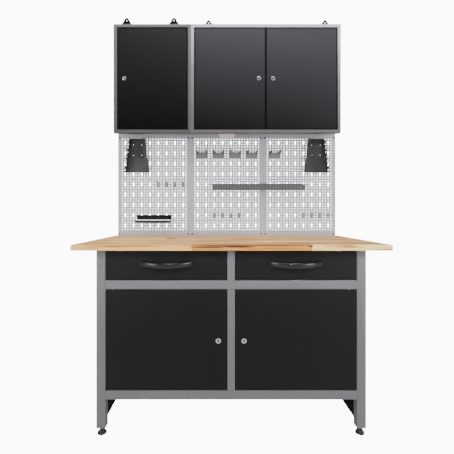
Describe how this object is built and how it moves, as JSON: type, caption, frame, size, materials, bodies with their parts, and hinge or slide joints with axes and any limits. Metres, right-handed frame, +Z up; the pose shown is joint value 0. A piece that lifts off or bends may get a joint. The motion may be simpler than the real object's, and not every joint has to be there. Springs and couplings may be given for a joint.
{
  "type": "workbench with drawers",
  "caption": "Steel workshop bench with wooden top, drawers and lockable cupboards, perforated tool boards and lockable wall cabinets above.",
  "frame": {"origin": "on the floor under the middle of the worktop", "axes": "+X to the right seen from the front, +Y to the wall behind, +Z up"},
  "size_m": [1.34, 0.67, 2.133],
  "materials": {
    "oak_top": "oiled glued staves",
    "frame_grey": "satin powder coat",
    "panel_black": "satin powder coat",
    "door_dark": "satin powder coat",
    "cabinet_grey": "satin powder coat",
    "cabinet_dark": "satin powder coat",
    "board_silver": "fine metallic powder coat",
    "holder_black": "satin powder coat",
    "holder_grey": "satin powder coat",
    "handle_black": "gloss moulded",
    "foot_black": "moulded",
    "zinc": "zinc plated",
    "lock_chrome": "polished",
    "plate_white": "satin powder coat"
  },
  "bodies": {
    "root": {"worktop": "oak_top", "rail_middle": "frame_grey", "rail_bottom": "frame_grey", "rear_rails": "frame_grey", "side_panel_left": "panel_black", "side_panel_right": "panel_black", "back_panel": "panel_black", "bottom_shelf": "frame_grey", "drawer_deck": "frame_grey", "partition_upper": "frame_grey", "partition_lower": "frame_grey", "screws": "zinc", "slides_fixed": "zinc", "hinge_pins": "zinc", "small_cabinet": "cabinet_dark", "large_cabinet": "cabinet_grey", "shelves": "frame_grey", "hanging_lugs": "panel_black", "board_left": "board_silver", "board_middle": "board_silver", "board_right": "board_silver", "spanner_holders": "holder_black", "rack": "holder_black", "plier_holders": "holder_grey", "trays": "holder_grey", "hooks": "zinc", "board_plate": "plate_white", "post_front_left": "frame_grey", "post_front_right": "frame_grey", "post_rear_left": "frame_grey", "post_rear_right": "frame_grey"},
    "foot_front_left": {"foot_front_left": "foot_black"},
    "foot_front_right": {"foot_front_right": "foot_black"},
    "foot_rear_left": {"foot_rear_left": "foot_black"},
    "foot_rear_right": {"foot_rear_right": "foot_black"},
    "drawer_left": {"drawer_left_front": "door_dark", "drawer_left_tray": "frame_grey", "drawer_left_handle": "handle_black", "drawer_left_runners": "zinc"},
    "slide_left": {"drawer_left_slides": "zinc"},
    "bench_door_left": {"door_left": "door_dark", "lock_left": "lock_chrome"},
    "bench_plug_left": {"plug_left": "lock_chrome"},
    "drawer_right": {"drawer_right_front": "door_dark", "drawer_right_tray": "frame_grey", "drawer_right_handle": "handle_black", "drawer_right_runners": "zinc"},
    "slide_right": {"drawer_right_slides": "zinc"},
    "bench_door_right": {"door_right": "door_dark", "lock_right": "lock_chrome"},
    "bench_plug_right": {"plug_right": "lock_chrome"},
    "small_cabinet_door": {"small_door": "door_dark", "small_lock": "lock_chrome"},
    "small_cabinet_plug": {"small_plug": "lock_chrome"},
    "large_cabinet_door_left": {"large_door_left": "door_dark", "large_lock_left": "lock_chrome"},
    "large_cabinet_plug_left": {"large_plug_left": "lock_chrome"},
    "large_cabinet_door_right": {"large_door_right": "door_dark", "large_lock_right": "lock_chrome"},
    "large_cabinet_plug_right": {"large_plug_right": "lock_chrome"}
  },
  "joints": [
    {"name": "foot_front_left_turn", "type": "hinge", "parent": "root", "child": "foot_front_left", "pos_m": [-0.558, -0.27, 0], "axis": [0, 0, 1], "continuous": true},
    {"name": "foot_front_right_turn", "type": "hinge", "parent": "root", "child": "foot_front_right", "pos_m": [0.558, -0.27, 0], "axis": [0, 0, 1], "continuous": true},
    {"name": "foot_rear_left_turn", "type": "hinge", "parent": "root", "child": "foot_rear_left", "pos_m": [-0.558, 0.27, 0], "axis": [0, 0, 1], "continuous": true},
    {"name": "foot_rear_right_turn", "type": "hinge", "parent": "root", "child": "foot_rear_right", "pos_m": [0.558, 0.27, 0], "axis": [0, 0, 1], "continuous": true},
    {"name": "drawer_left_pull", "type": "slide", "parent": "root", "child": "drawer_left", "axis": [0, -1, 0], "range_m": [0, 0.4]},
    {"name": "slide_left_follow", "type": "slide", "parent": "root", "child": "slide_left", "axis": [0, -1, 0], "range_m": [0, 0.2]},
    {"name": "door_left_swing", "type": "hinge", "parent": "root", "child": "bench_door_left", "pos_m": [-0.509, -0.2795, 0.4095], "axis": [0, 0, -1], "range_deg": [0, 110]},
    {"name": "lock_left_turn", "type": "hinge", "parent": "bench_door_left", "child": "bench_plug_left", "pos_m": [-0.055, -0.2885, 0.406], "axis": [0, -1, 0], "range_deg": [0, 90]},
    {"name": "drawer_right_pull", "type": "slide", "parent": "root", "child": "drawer_right", "axis": [0, -1, 0], "range_m": [0, 0.4]},
    {"name": "slide_right_follow", "type": "slide", "parent": "root", "child": "slide_right", "axis": [0, -1, 0], "range_m": [0, 0.2]},
    {"name": "door_right_swing", "type": "hinge", "parent": "root", "child": "bench_door_right", "pos_m": [0.509, -0.2795, 0.4095], "axis": [0, 0, 1], "range_deg": [0, 110]},
    {"name": "lock_right_turn", "type": "hinge", "parent": "bench_door_right", "child": "bench_plug_right", "pos_m": [0.055, -0.2885, 0.406], "axis": [0, 1, 0], "range_deg": [0, 90]},
    {"name": "small_door_swing", "type": "hinge", "parent": "root", "child": "small_cabinet_door", "pos_m": [-0.2405, 0.1945, 1.711], "axis": [0, 0, 1], "range_deg": [0, 90]},
    {"name": "small_lock_turn", "type": "hinge", "parent": "small_cabinet_door", "child": "small_cabinet_plug", "pos_m": [-0.5795, 0.1865, 1.711], "axis": [0, 1, 0], "range_deg": [0, 90]},
    {"name": "large_door_left_swing", "type": "hinge", "parent": "root", "child": "large_cabinet_door_left", "pos_m": [-0.1695, 0.1945, 1.711], "axis": [0, 0, -1], "range_deg": [0, 90]},
    {"name": "large_lock_left_turn", "type": "hinge", "parent": "large_cabinet_door_left", "child": "large_cabinet_plug_left", "pos_m": [0.1765, 0.1865, 1.711], "axis": [0, -1, 0], "range_deg": [0, 90]},
    {"name": "large_door_right_swing", "type": "hinge", "parent": "root", "child": "large_cabinet_door_right", "pos_m": [0.6015, 0.1945, 1.711], "axis": [0, 0, 1], "range_deg": [0, 110]},
    {"name": "large_lock_right_turn", "type": "hinge", "parent": "large_cabinet_door_right", "child": "large_cabinet_plug_right", "pos_m": [0.2555, 0.1865, 1.711], "axis": [0, 1, 0], "range_deg": [0, 90]}
  ],
  "couplings": [
    {"joint": "slide_left_follow", "follows": "drawer_left_pull", "ratio": 0.5},
    {"joint": "slide_right_follow", "follows": "drawer_right_pull", "ratio": 0.5}
  ]
}
